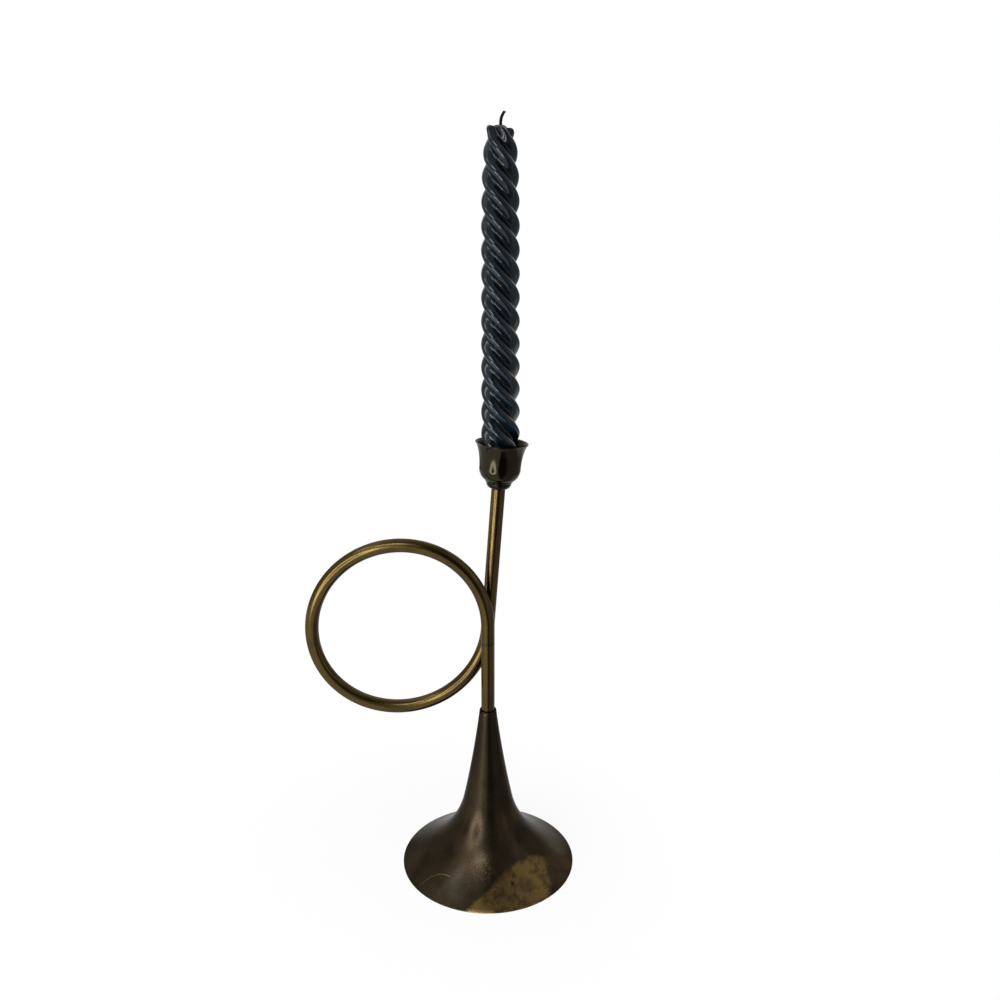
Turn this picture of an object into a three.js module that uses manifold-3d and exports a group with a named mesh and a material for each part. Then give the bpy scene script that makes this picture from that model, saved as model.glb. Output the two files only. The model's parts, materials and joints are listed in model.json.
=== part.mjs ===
// Taper candle holder shaped like a coiled horn: a spun brass bell stands on its rim,
// a brass tube rises from its neck, makes one full loop to the left, passes behind itself
// and leans slightly to the right up to a screwed-on candle cup with a twisted taper candle.
// Millimetres, +Z up. The origin lies on the floor under the middle of the whole object.

import * as THREE from 'three';
import { mergeVertices } from 'three/addons/utils/BufferGeometryUtils.js';
import Module from 'manifold-3d';

const wasm = await Module();
wasm.setup();

// Clearances
const seatGap = 0.3; // between pieces that touch, are soldered or are pressed together
const threadGap = 0.25; // around screws, studs and the plugs soldered inside the tube
const seamGap = 0.1; // the butt joint of the tube

// Brass tube
const tubeRadius = 4;
const tubeWall = 0.8;

// Bell, spun from sheet: outer outline from the neck to the rim
const rimRadius = 54;
const rimLand = 0.6; // height of the upright edge of the rim
const rimLean = 59.5; // degrees from upright, at the rim
const rimPull = 28.9; // how far the outline keeps that direction
const waistRadius = 15;
const waistHeight = 45.6;
const waistLean = 12.3;
const waistPullUp = 20.2;
const waistPullDown = 18.8;
const neckHeight = 104.8;
const neckLean = 6.1;
const neckPull = 18.5;
const bellWall = 0.8;

// Fastening of the tube inside the neck
const tubeSeatDepth = 20.8; // the tube stands on a shoulder of the bush, this far below the neck
const bushSocket = 10; // depth of the socket above that shoulder
const bushBase = 8; // thickness of the bush below it
const screwRadius = 2;
const screwReach = 9; // how far the screw goes into the plug of the tube
const screwHeadAcross = 7;
const screwHeadHeight = 2.8;
const washerRadius = 4.5;
const washerThickness = 0.8;
const springWasherRadius = 3.8;
const springWasherThickness = 0.9;
const springWasherSplit = 0.35; // radians
const plugLength = 12;

// Horn tube: loop and leaning leg
const seamHeight = 148.8;
const loopHeight = 156.55; // height of the middle of the loop
const loopLong = 54.75; // half lengths to the middle of the tube: the loop is slightly oval
const loopShort = 52.2;
const loopDiagonal = THREE.MathUtils.degToRad(52.7); // its longer half length rises to the right
const solderGap = 0.9; // between the tubes where they cross
const legTilt = THREE.MathUtils.degToRad(4.15);
const legReach = 115.7; // from the end of the loop to the lip of the cup
const sleeveLength = 14;
const solderWidth = 5.2;
const solderHeight = 9;

// Candle cup, measured down from its lip
const lipRadius = 15.05;
const lipPullRadius = 13.45;
const lipPullDepth = 1.7;
const bellyRadius = 12.1;
const bellyPullDepth = 8.1;
const bellyDepth = 15.5;
const bellyTurnDepth = 1.75; // the belly runs on straight this far, then turns in
const cupFootRadius = 8.6;
const cupFootDepth = 22.2;
const footPullRadius = 2.55; // outwards and up from the foot, the direction in which it meets the belly
const footPullDepth = 0.95;
const cupFloorDepth = 17.5;
const cupFloorRound = 2.2;
const cupWall = 1.1;

// Collar under the cup
const collarRadius = 8.1;
const collarHeight = 4.9;
const collarEdge = 0.6; // upright edge at the top of its rounding
const collarFootRadius = 4.9;
const collarSocketDepth = 2.6; // how deep the tube stands in the collar

// Stud of the cup
const studTopDepth = 18.3; // below the lip of the cup
const studReach = 9; // below the end of the tube

// Candle: four twisted strands cast in one
const strands = 4;
const strandPitch = 12.8; // height from one strand to the next
const candleRadius = 11.2;
const candleTaper = 0.0046; // loss of radius with height
const grooveDepth = 3.9;
const grooveSharpness = 1.3;
const candleTop = 442; // above the floor
const leftGroove = 422.8; // where a groove passes the left side, above the floor
const shoulderDrop = 64; // length of the rounding towards the tip
const footRadius = 9.5;
const footTaperLength = 17;
const noseRadius = 1.9;
const noseTop = 0.5; // above the ends of the strands
const noseDepth = 4; // below them

// Wick
const wickRadius = 0.85;
const wickCoreRadius = 0.7;
const wickBoreRadius = 1.2;
const wickRise = 7.6;
const wickBend = 2.1;
const wickFray = 4; // length of the thicker end inside the wax

// Facets
const bellSides = 48;
const turnedSides = 36;
const tubeSides = 14;
const boreSides = 10;
const smallSides = 24;
const wickSides = 8;
const hornSteps = 72;
const neckSteps = 4;
const flareSteps = 9;
const bushSteps = 3;
const solderRings = 12;
const collarSteps = 5;
const lipSteps = 7;
const bellySteps = 5;
const floorSteps = 3;
const strandFacets = 8;
const candleStep = 3.2;
const tipRings = 6;
const tipShrink = 0.6; // each ring of the tip lies this share as far from the end as the one before
const wickSteps = 8;

// Length by which a cutting or joining shape passes a face
const overrun = 1;

// Derived sizes
const tubeSeatHeight = neckHeight - tubeSeatDepth;
const bushTop = tubeSeatHeight + bushSocket;
const bushBottom = tubeSeatHeight - bushBase;
const tubeBore = tubeRadius - tubeWall;
const plugRadius = tubeBore - threadGap;
const screwBore = screwRadius + threadGap;
const neckRadius = tubeRadius + seatGap + bellWall;
const crossing = 2 * tubeRadius + solderGap; // how far the leg stands behind the stem
const loopHalfWidth = Math.hypot(loopLong * Math.cos(loopDiagonal), loopShort * Math.sin(loopDiagonal));
const loopStart = upright(0);
const loopTurn = 2 * Math.PI + upright(legTilt) - loopStart;
const leftReach = 2 * loopHalfWidth + tubeRadius;
const stemX = (leftReach - rimRadius) / 2;
const collarTop = legReach - cupFootDepth - seatGap;
const collarBottom = collarTop - collarHeight;
const legTop = collarBottom + collarSocketDepth;

const agedBrass = new THREE.MeshStandardMaterial({ color: '#47382a', roughness: 0.42, metalness: 1 });
const tubeBrass = new THREE.MeshStandardMaterial({ color: '#85692f', roughness: 0.34, metalness: 1 });
const darkBrass = new THREE.MeshStandardMaterial({ color: '#2f2a1d', roughness: 0.36, metalness: 1 });
const freshBrass = new THREE.MeshStandardMaterial({ color: '#b8954f', roughness: 0.4, metalness: 1 });
const steel = new THREE.MeshStandardMaterial({ color: '#8d9093', roughness: 0.38, metalness: 1 });
const solder = new THREE.MeshStandardMaterial({ color: '#6f675a', roughness: 0.5, metalness: 1 });
const wax = new THREE.MeshStandardMaterial({ color: '#15222e', roughness: 0.4, metalness: 0 });
const cotton = new THREE.MeshStandardMaterial({ color: '#141210', roughness: 0.9, metalness: 0 });

// Where the right side of the loop runs upwards with a lean to the right, as an angle round the oval
function upright(lean) {
  return -Math.atan((loopShort / loopLong) * Math.tan(loopDiagonal + lean));
}

// Merges the shared vertices, drops empty triangles and turns all faces outwards
function closedGeometry(source) {
  const bare = source.clone();
  bare.deleteAttribute('normal');
  bare.deleteAttribute('uv');
  const merged = mergeVertices(bare, 1e-4);
  const place = (corner) => new THREE.Vector3().fromBufferAttribute(merged.attributes.position, corner);
  const faces = [];
  let volume = 0;
  for (let i = 0; i < merged.index.count; i += 3) {
    const [a, b, c] = merged.index.array.slice(i, i + 3);
    if (a === b || b === c || c === a) continue;
    volume += place(a).dot(place(b).cross(place(c)));
    faces.push([a, b, c]);
  }
  if (volume < 0) faces.forEach((face) => face.reverse());
  merged.setIndex(faces.flat());
  return merged;
}

function toManifold(source) {
  const closed = closedGeometry(source);
  const vertProperties = new Float32Array(closed.attributes.position.array);
  const triVerts = new Uint32Array(closed.index.array);
  return new wasm.Manifold(new wasm.Mesh({ numProp: 3, vertProperties, triVerts }));
}

function fromManifold(shape) {
  const mesh = shape.getMesh();
  const geometry = new THREE.BufferGeometry();
  geometry.setAttribute('position', new THREE.BufferAttribute(mesh.vertProperties, 3));
  geometry.setIndex(new THREE.BufferAttribute(mesh.triVerts, 1));
  return geometry;
}

// A body of revolution about Z from points of radius and height
function turned(points, sides) {
  const outline = points.map(([radius, height]) => new THREE.Vector2(radius, height));
  return new THREE.LatheGeometry(outline, sides).rotateX(Math.PI / 2);
}

// A ring or a drilled cylinder between two heights
function ring(outer, bore, bottom, top, sides) {
  return turned([[bore, bottom], [outer, bottom], [outer, top], [bore, top], [bore, bottom]], sides);
}

function cylinder(radius, bottom, top, sides) {
  return turned([[0, bottom], [radius, bottom], [radius, top], [0, top]], sides);
}

function roundPoints(radius, sides) {
  const points = [];
  for (let i = 0; i < sides; i += 1) {
    const angle = (i / sides) * 2 * Math.PI;
    points.push(new THREE.Vector2(radius * Math.cos(angle), radius * Math.sin(angle)));
  }
  return points;
}

function named(name, geometry, material) {
  const mesh = new THREE.Mesh(closedGeometry(geometry), material);
  mesh.name = name;
  return mesh;
}

// The direction of the bell's outline going down, leaning out by an angle in degrees
function downward(lean) {
  const angle = THREE.MathUtils.degToRad(lean);
  return new THREE.Vector2(Math.sin(angle), -Math.cos(angle));
}

function bellCurves() {
  const neck = new THREE.Vector2(neckRadius, neckHeight);
  const waist = new THREE.Vector2(waistRadius, waistHeight);
  const rim = new THREE.Vector2(rimRadius, rimLand);
  const belowNeck = downward(neckLean).multiplyScalar(neckPull).add(neck);
  const aboveWaist = downward(waistLean).multiplyScalar(-waistPullUp).add(waist);
  const belowWaist = downward(waistLean).multiplyScalar(waistPullDown).add(waist);
  const aboveRim = downward(rimLean).multiplyScalar(-rimPull).add(rim);
  return [
    { curve: new THREE.CubicBezierCurve(neck, belowNeck, aboveWaist, waist), steps: neckSteps },
    { curve: new THREE.CubicBezierCurve(waist, belowWaist, aboveRim, rim), steps: flareSteps },
  ];
}

// Points on the bell's sheet from the neck down, moved inwards by a depth
function bellOutline(depth) {
  const points = [];
  for (const { curve, steps } of bellCurves()) {
    for (let i = points.length ? 1 : 0; i <= steps; i += 1) {
      const at = curve.getPoint(i / steps);
      const along = curve.getTangent(i / steps);
      points.push([at.x + along.y * depth, at.y - along.x * depth]);
    }
  }
  return points;
}

// The inside of the bell: squared off at the neck and cut flat at the floor
function bellInside() {
  const points = bellOutline(bellWall);
  points[0] = [neckRadius - bellWall, neckHeight];
  const below = points.findIndex(([, height]) => height <= 0);
  const [r0, z0] = points[below - 1];
  const [r1, z1] = points[below];
  const landing = [r0 + ((r1 - r0) * z0) / (z0 - z1), 0];
  return [...points.slice(0, below), landing];
}

function radiusAt(outline, height) {
  const next = outline.findIndex(([, z]) => z <= height);
  const [r0, z0] = outline[next - 1];
  const [r1, z1] = outline[next];
  return r0 + ((r1 - r0) * (z0 - height)) / (z0 - z1);
}

function bell() {
  const outside = bellOutline(0);
  const inside = bellInside();
  const profile = [...outside, [rimRadius, 0], ...inside.reverse(), outside[0]];
  return named('bell', turned(profile, bellSides), agedBrass);
}

// Tapered bush soldered in the neck, with a socket for the tube and a hole for the screw
function neckBush() {
  const inside = bellInside();
  const outer = [];
  for (let i = 0; i <= bushSteps; i += 1) {
    const height = bushBottom + ((bushTop - bushBottom) * i) / bushSteps;
    outer.push([radiusAt(inside, height) - seatGap, height]);
  }
  const socket = tubeRadius + seatGap;
  const profile = [
    [screwBore, bushBottom],
    ...outer,
    [socket, bushTop],
    [socket, tubeSeatHeight - seatGap],
    [screwBore, tubeSeatHeight - seatGap],
    [screwBore, bushBottom],
  ];
  return named('neck_bush', turned(profile, smallSides), freshBrass);
}

function stemTube() {
  const tube = ring(tubeRadius, tubeBore, tubeSeatHeight, seamHeight, smallSides);
  return named('stem_tube', tube, tubeBrass);
}

function stemPlug() {
  const plug = ring(plugRadius, screwBore, tubeSeatHeight, tubeSeatHeight + plugLength, smallSides);
  return named('stem_plug', plug, freshBrass);
}

function baseWasher() {
  const washer = ring(washerRadius, screwBore, bushBottom - washerThickness, bushBottom, smallSides);
  return named('base_washer', washer, steel);
}

// Split spring washer
function springWasher() {
  const from = springWasherSplit / 2;
  const to = 2 * Math.PI - from;
  const shape = new THREE.Shape();
  shape.absarc(0, 0, springWasherRadius, from, to, false);
  shape.absarc(0, 0, screwBore, to, from, true);
  shape.closePath();
  const options = { depth: springWasherThickness, bevelEnabled: false, curveSegments: boreSides };
  const bottom = bushBottom - washerThickness - springWasherThickness;
  const washer = new THREE.ExtrudeGeometry(shape, options).translate(0, 0, bottom);
  return named('spring_washer', washer, steel);
}

// Hexagon screw from inside the bell up into the plug of the tube
function baseScrew() {
  const headTop = bushBottom - washerThickness - springWasherThickness;
  const headRadius = screwHeadAcross / Math.sqrt(3);
  const head = toManifold(cylinder(headRadius, headTop - screwHeadHeight, headTop, 6));
  const shank = toManifold(cylinder(screwRadius, headTop - overrun, tubeSeatHeight + screwReach, smallSides));
  return named('base_screw', fromManifold(head.add(shank)), steel);
}

// Short tube soldered inside both ends at the butt joint
function jointSleeve() {
  const bottom = seamHeight - sleeveLength / 2;
  const sleeve = ring(plugRadius, plugRadius - tubeWall, bottom, bottom + sleeveLength, smallSides);
  return named('joint_sleeve', sleeve, freshBrass);
}

// Middle line of the horn tube: up, once round to the left, and up the leaning leg
class HornPath extends THREE.Curve {
  constructor(legLength) {
    super();
    this.rise = this.onLoop(0).z - seamHeight - seamGap;
    this.bend = ((loopLong + loopShort) / 2) * loopTurn;
    this.total = this.rise + this.bend + legLength;
    this.arcLengthDivisions = 2000;
  }

  onLoop(share) {
    const angle = loopStart + loopTurn * share;
    const back = crossing * (share - Math.sin(2 * Math.PI * share) / (2 * Math.PI));
    const oval = new THREE.Vector2(loopLong * Math.cos(angle), loopShort * Math.sin(angle));
    oval.rotateAround(new THREE.Vector2(), loopDiagonal);
    return new THREE.Vector3(oval.x - loopHalfWidth, back, loopHeight + oval.y);
  }

  getPoint(share, target = new THREE.Vector3()) {
    const run = share * this.total;
    if (run < this.rise) return target.set(0, 0, seamHeight + seamGap + run);
    if (run < this.rise + this.bend) return target.copy(this.onLoop((run - this.rise) / this.bend));
    const lean = new THREE.Vector3(Math.sin(legTilt), 0, Math.cos(legTilt));
    return target.copy(this.onLoop(1)).addScaledVector(lean, run - this.rise - this.bend);
  }
}

// The corners of the outside and the flats of the bore lie at the given radii
function hornGeometry(radius, bore) {
  const shape = new THREE.Shape(roundPoints(radius, tubeSides));
  const boreCorner = bore / Math.cos(Math.PI / boreSides);
  if (bore) shape.holes.push(new THREE.Path(roundPoints(boreCorner, boreSides)));
  const extrudePath = new HornPath(legTop);
  return new THREE.ExtrudeGeometry(shape, { steps: hornSteps, bevelEnabled: false, extrudePath });
}

function hornTube() {
  return named('horn_tube', hornGeometry(tubeRadius, tubeBore), tubeBrass);
}

// Solder between the stem and the leg where the tubes cross
function crossingSolder() {
  const bead = new THREE.SphereGeometry(1, smallSides, solderRings);
  bead.scale(solderWidth / 2, crossing / 2, solderHeight / 2);
  bead.translate(0, crossing / 2, loopHeight);
  const shape = toManifold(bead).subtract(toManifold(hornGeometry(tubeRadius + seatGap, 0)));
  return named('crossing_solder', fromManifold(shape), solder);
}

function topPlug() {
  return named('top_plug', ring(plugRadius, screwBore, legTop - plugLength, legTop, smallSides), freshBrass);
}

function cupStud() {
  const stud = cylinder(screwRadius, legTop - studReach, legReach - studTopDepth, smallSides);
  return named('cup_stud', stud, freshBrass);
}

// Ring between the tube and the cup: rounded outside, with a socket for the tube
function cupCollar() {
  const round = [];
  for (let i = 0; i <= collarSteps; i += 1) {
    const angle = (i / collarSteps) * (Math.PI / 2);
    const spread = collarRadius - collarFootRadius;
    const drop = collarHeight - collarEdge;
    round.push([collarFootRadius + spread * Math.sin(angle), collarBottom + drop * (1 - Math.cos(angle))]);
  }
  const socket = tubeRadius + seatGap;
  const profile = [
    [socket, collarBottom],
    ...round,
    [collarRadius, collarTop],
    [screwBore, collarTop],
    [screwBore, legTop + seatGap],
    [socket, legTop + seatGap],
    [socket, collarBottom],
  ];
  return named('cup_collar', turned(profile, turnedSides), darkBrass);
}

// Outline of the cup from its lip to its foot: a flared mouth and a round belly
function cupOutside() {
  const lip = new THREE.CubicBezierCurve(
    new THREE.Vector2(lipRadius, 0),
    new THREE.Vector2(lipPullRadius, -lipPullDepth),
    new THREE.Vector2(bellyRadius, -bellyPullDepth),
    new THREE.Vector2(bellyRadius, -bellyDepth),
  );
  const belly = new THREE.CubicBezierCurve(
    new THREE.Vector2(bellyRadius, -bellyDepth),
    new THREE.Vector2(bellyRadius, -bellyDepth - bellyTurnDepth),
    new THREE.Vector2(cupFootRadius + footPullRadius, -cupFootDepth + footPullDepth),
    new THREE.Vector2(cupFootRadius, -cupFootDepth),
  );
  return { lip, belly };
}

function candleCup() {
  const { lip, belly } = cupOutside();
  const flare = lip.getPoints(lipSteps);
  const outside = [...flare, ...belly.getPoints(bellySteps).slice(1)].map(({ x, y }) => [x, y]);
  const mouth = flare.slice(0, -1).map(({ x, y }) => [x - cupWall, y]);
  const bore = bellyRadius - cupWall;
  const floor = [];
  for (let i = 0; i <= floorSteps; i += 1) {
    const angle = (i / floorSteps) * (Math.PI / 2);
    const radius = bore - cupFloorRound * (1 - Math.cos(angle));
    floor.push([radius, -cupFloorDepth + cupFloorRound * (1 - Math.sin(angle))]);
  }
  const inside = [...mouth, ...floor];
  const profile = [
    ...outside,
    [screwBore, -cupFootDepth],
    [screwBore, -cupFloorDepth],
    ...inside.reverse(),
    outside[0],
  ];
  const geometry = turned(profile, turnedSides).translate(0, 0, legReach);
  return named('candle_cup', geometry, darkBrass);
}

// Largest radius of the candle at a height above its foot
function candleReach(height, length) {
  const straight = candleRadius - candleTaper * height;
  const foot = footRadius + ((candleRadius - footRadius) * height) / footTaperLength;
  const rounding = Math.max(0, (height - length) / shoulderDrop + 1);
  return Math.min(straight, foot) * (1 - rounding ** 3) ** (1 / 6);
}

// Heights of the rings of facets, closer together near the tip
function candleRings(length) {
  const heights = [];
  for (let height = 0; height < length - 2 * candleStep; height += candleStep) {
    heights.push(height);
  }
  for (let i = 0; i < tipRings; i += 1) {
    heights.push(length - 2 * candleStep * tipShrink ** i);
  }
  return heights;
}

// Twisted candle: a turned blank, then every ring gets the same lobes, turned on by its height
function candle(length, groove) {
  const rings = candleRings(length).map((height) => [candleRadius, height]);
  const body = turned([[0, 0], ...rings, [0, length]], strands * strandFacets);
  const places = body.attributes.position;
  for (let i = 0; i < places.count; i += 1) {
    const height = places.getZ(i);
    if (Math.hypot(places.getX(i), places.getY(i)) < candleRadius / 2) continue;
    const angle = Math.atan2(places.getY(i), places.getX(i));
    const lobe = Math.abs(Math.cos((strands * angle) / 2)) ** grooveSharpness;
    const reach = candleReach(height, length);
    const radius = reach * (1 - (grooveDepth / candleRadius) * (1 - lobe));
    const turn = angle + (Math.PI - (2 * Math.PI * (height - groove)) / strandPitch) / strands;
    places.setXYZ(i, radius * Math.cos(turn), radius * Math.sin(turn), height);
  }
  const nose = cylinder(noseRadius, length - noseDepth, length + noseTop, boreSides);
  const bore = cylinder(wickBoreRadius, -overrun, length + noseTop + overrun, boreSides);
  const shape = toManifold(body).add(toManifold(nose)).subtract(toManifold(bore));
  return named('candle', fromManifold(shape), wax);
}

function wick(length) {
  const points = [new THREE.Vector3(0, 0, length - wickFray)];
  for (const share of [0, 1 / 3, 2 / 3, 1]) {
    points.push(new THREE.Vector3(wickBend * share ** 2, 0, length + wickRise * share));
  }
  const extrudePath = new THREE.CatmullRomCurve3(points);
  const section = new THREE.Shape(roundPoints(wickRadius, wickSides));
  const end = new THREE.ExtrudeGeometry(section, { steps: wickSteps, bevelEnabled: false, extrudePath });
  const core = cylinder(wickCoreRadius, overrun, length - wickFray / 2, wickSides);
  return named('wick', fromManifold(toManifold(core).add(toManifold(end))), cotton);
}

const loopEnd = new HornPath(0).onLoop(1);

// Pieces that share the leaning axis of the leg
const leg = new THREE.Group();
leg.position.copy(loopEnd);
leg.rotation.y = legTilt;
leg.add(topPlug(), cupStud(), cupCollar(), candleCup());

// The candle stands upright on the leaning floor of the cup
const floorHeight = loopEnd.z + (legReach - cupFloorDepth) * Math.cos(legTilt);
const candleFoot = floorHeight + footRadius * Math.tan(legTilt) + seatGap;
const candleLength = candleTop - candleFoot;
const taper = new THREE.Group();
taper.position.set(loopEnd.x + (legReach - cupFloorDepth) * Math.sin(legTilt), crossing, candleFoot);
taper.add(candle(candleLength, leftGroove - candleFoot), wick(candleLength));

const holder = new THREE.Group();
holder.position.x = stemX;
holder.add(bell(), neckBush(), stemPlug(), baseWasher(), springWasher(), baseScrew());
holder.add(stemTube(), jointSleeve(), hornTube(), crossingSolder(), leg, taper);

export default holder;
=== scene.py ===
import json
import math

import bmesh
import bpy
from mathutils import Matrix, Vector
from mathutils.geometry import interpolate_bezier


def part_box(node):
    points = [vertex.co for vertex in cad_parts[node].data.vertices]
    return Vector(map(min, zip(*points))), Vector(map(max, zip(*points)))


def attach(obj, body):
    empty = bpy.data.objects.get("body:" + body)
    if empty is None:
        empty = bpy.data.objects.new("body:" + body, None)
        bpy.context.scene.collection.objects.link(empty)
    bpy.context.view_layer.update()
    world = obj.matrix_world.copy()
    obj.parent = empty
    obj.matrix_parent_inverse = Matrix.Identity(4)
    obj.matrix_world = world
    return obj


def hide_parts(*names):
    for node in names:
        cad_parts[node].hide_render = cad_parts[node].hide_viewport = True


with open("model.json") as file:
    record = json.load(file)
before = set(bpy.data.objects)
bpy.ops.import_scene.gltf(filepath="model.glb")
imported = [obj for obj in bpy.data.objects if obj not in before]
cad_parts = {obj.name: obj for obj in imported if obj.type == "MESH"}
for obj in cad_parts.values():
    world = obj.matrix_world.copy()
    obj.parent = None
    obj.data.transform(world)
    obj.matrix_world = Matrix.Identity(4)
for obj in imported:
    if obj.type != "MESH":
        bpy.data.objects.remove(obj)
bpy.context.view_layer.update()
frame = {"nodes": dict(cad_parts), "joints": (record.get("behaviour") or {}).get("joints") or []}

bl_info = {
    "name": "Coiled Horn Candle Holder",
    "version": (1, 0, 0),
    "blender": (4, 5, 0),
    "location": "3D View > Sidebar > Candle Holder",
    "description": "Candle holder shaped like a coiled horn, with bell, looped tube, cup and twisted candle",
    "category": "Add Mesh",
}

MM = 0.001

# Places and sizes that the frame settles
BELL_LOW, BELL_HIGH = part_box("bell")
STEM_LOW, STEM_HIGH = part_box("stem_tube")
SCREW_LOW, SCREW_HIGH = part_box("base_screw")
WASHER_LOW, WASHER_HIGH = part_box("base_washer")
SPRING_LOW, SPRING_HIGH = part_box("spring_washer")
SOLDER_LOW, SOLDER_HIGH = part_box("crossing_solder")
CANDLE_LOW, CANDLE_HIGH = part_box("candle")
STUD_LOW, STUD_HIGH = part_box("cup_stud")
STEM = Vector(((BELL_LOW.x + BELL_HIGH.x) / 2, 0, 0))
JOINTS = {joint["name"]: joint for joint in frame["joints"]}
LEG_AXIS = Vector(JOINTS["cup_turn"]["axis"]).normalized()
COLLAR_FOOT = Vector(JOINTS["cup_turn"]["pos_m"])
LEG_LEAN = math.atan2(LEG_AXIS.x, LEG_AXIS.z)
LEG_PLACE = Matrix.Translation(COLLAR_FOOT) @ Matrix.Rotation(LEG_LEAN, 4, "Y")
STEM_PLACE = Matrix.Translation(STEM)

# Colour sockets of a Mix node
MIX_A = 6
MIX_B = 7

# Setting of a MapRange node that makes it a smooth step
SMOOTH = {"interpolation_type": "SMOOTHSTEP"}

# Share of a straight length of tube at which its first ring stands
END_STEP = 0.003


def linear(hex_colour):
    """An sRGB hex colour as linear red, green, blue and alpha."""
    parts = [int(hex_colour[i:i + 2], 16) / 255 for i in (1, 3, 5)]
    light = [c / 12.92 if c <= 0.04045 else ((c + 0.055) / 1.055) ** 2.4 for c in parts]
    return (*light, 1.0)


WHITE = linear("#ffffff")


def length(name, millimetres, description):
    """A size that a user can change, shown in the scene's units."""
    return bpy.props.FloatProperty(
        name=name, description=description, default=millimetres * MM, unit="LENGTH", precision=5
    )


def angle(name, degrees, description):
    """An angle that a user can change."""
    return bpy.props.FloatProperty(
        name=name, description=description, default=math.radians(degrees), unit="ROTATION"
    )


def number(name, value, description):
    """A share, a slope or a brightness that a user can change."""
    return bpy.props.FloatProperty(name=name, description=description, default=value, precision=4)


def colour(name, hex_colour, description):
    """A colour that a user can change."""
    return bpy.props.FloatVectorProperty(
        name=name, description=description, default=linear(hex_colour), size=4, subtype="COLOR", min=0, max=1
    )


def edge_tint(hex_colour):
    """A colour setting: the grey that a metal turns towards its edges."""
    return colour("Edge Tint", hex_colour, "Grey that dims the metal where it is seen at a flat angle")


class BellSettings(bpy.types.PropertyGroup):
    """Sizes and colours of the spun bell that serves as the foot"""

    wall: length("Wall", 0.8, "Thickness of the spun sheet")
    rim_edge: length("Rim Edge", 0.6, "Height of the upright edge of the rim")
    rim_lean: angle("Rim Lean", 59.5, "Lean of the outline at the rim")
    waist_radius: length("Waist Radius", 15.0, "Radius where the cone of the neck turns into the flare")
    waist_height: length("Waist Height", 45.6, "Height of that place")
    waist_lean: angle("Waist Lean", 12.3, "Lean of the outline at the waist")
    neck_radius: length("Neck Radius", 5.1, "Outer radius at the mouth of the neck")
    neck_lean: angle("Neck Lean", 7.0, "Lean of the outline at the neck")
    patina: colour("Patina", "#3d3326", "Main brown of the patina")
    # Also used as painted shade up the neck and on the waist.
    umber_and_shade: colour("Umber", "#2b251c", "Darker brown of the patina")
    russet: colour("Russet", "#48382b", "Reddish brown of the patina's streaks")
    worn: colour("Worn Brass", "#735e37", "Brass where the patina is rubbed through")
    # Also used as painted sheen on the front and the right wing.
    dust_and_sheen: colour("Dust", "#625c50", "Pale wax dust on the flare")
    # Also the colour of the painted glint on the front rim.
    scratch: colour("Scratch", "#a58f63", "Bright metal in the scratch")
    edge: edge_tint("#c0c0c0")


class TubeSettings(bpy.types.PropertyGroup):
    """Sizes and colours of the bent brass tube"""

    wall: length("Wall", 0.8, "Wall of the tube")
    swell: length("Swell", 0.08, "How far the round tube stands outside the faceted solid")
    loop_height: length("Loop Height", 156.55, "Height of the middle of the loop")
    loop_long: length("Long Half", 54.75, "Longer half length of the loop, to the middle of the tube")
    loop_short: length("Short Half", 52.2, "Shorter half length of the loop")
    loop_diagonal: angle("Loop Diagonal", 52.7, "Rise of the longer half length")
    seam: length("Seam", 0.1, "Gap of the butt joint")
    collar_depth: length("Collar Depth", 2.6, "How deep the tube stands in the collar")
    brass: colour("Brass", "#4f3e10", "Main colour of the aged brass")
    shade: colour("Shade", "#3b2e0c", "Darker olive of the tarnish")
    stain: colour("Stain", "#241c10", "Dark stains at the butt joint")
    solder: colour("Solder", "#5f574a", "Dull tin of the solder")
    edge: edge_tint("#9a9a9a")


class CupSettings(bpy.types.PropertyGroup):
    """Sizes and colours of the candle cup and of its collar, measured from the foot of the collar"""

    collar_height: length("Collar Height", 4.9, "Height of the collar")
    collar_radius: length("Collar Radius", 8.45, "Radius at the top of the collar")
    collar_foot_radius: length("Collar Foot Radius", 4.9, "Radius at the foot of the collar")
    collar_step: length("Collar Step", 3.35, "Height of the groove round the collar")
    collar_step_radius: length("Collar Step Radius", 7.4, "Radius under the groove")
    seat: length("Seat", 0.06, "Gap between the collar and the cup")
    socket: length("Socket Gap", 0.3, "Gap between the collar and the tube")
    cup_height: length("Cup Height", 22.2, "Height of the cup")
    lip_radius: length("Lip Radius", 15.6, "Outer radius of the lip")
    belly_radius: length("Belly Radius", 12.1, "Radius of the belly")
    belly_depth: length("Belly Depth", 15.5, "Depth where the belly starts to turn in")
    foot_radius: length("Foot Radius", 8.5, "Radius at the foot of the cup")
    floor_depth: length("Floor Depth", 17.5, "Depth of the cup's inner floor below the lip")
    wall: length("Wall", 1.1, "Wall of the cup")
    hole_radius: length("Hole Radius", 2.25, "Hole for the stud")
    brass: colour("Blackened Brass", "#25210f", "Main colour of the blackened brass")
    warm: colour("Warm Tint", "#2a2019", "Redder tint in patches")
    speck: colour("Specks", "#453d2e", "Paler specks")
    # Painted shade: colour that darkens the collar under the cup.
    painted_collar_shade: colour("Grime", "#12100a", "Dirt on the collar, in the shade of the cup")
    edge: edge_tint("#c8c8c8")


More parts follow.
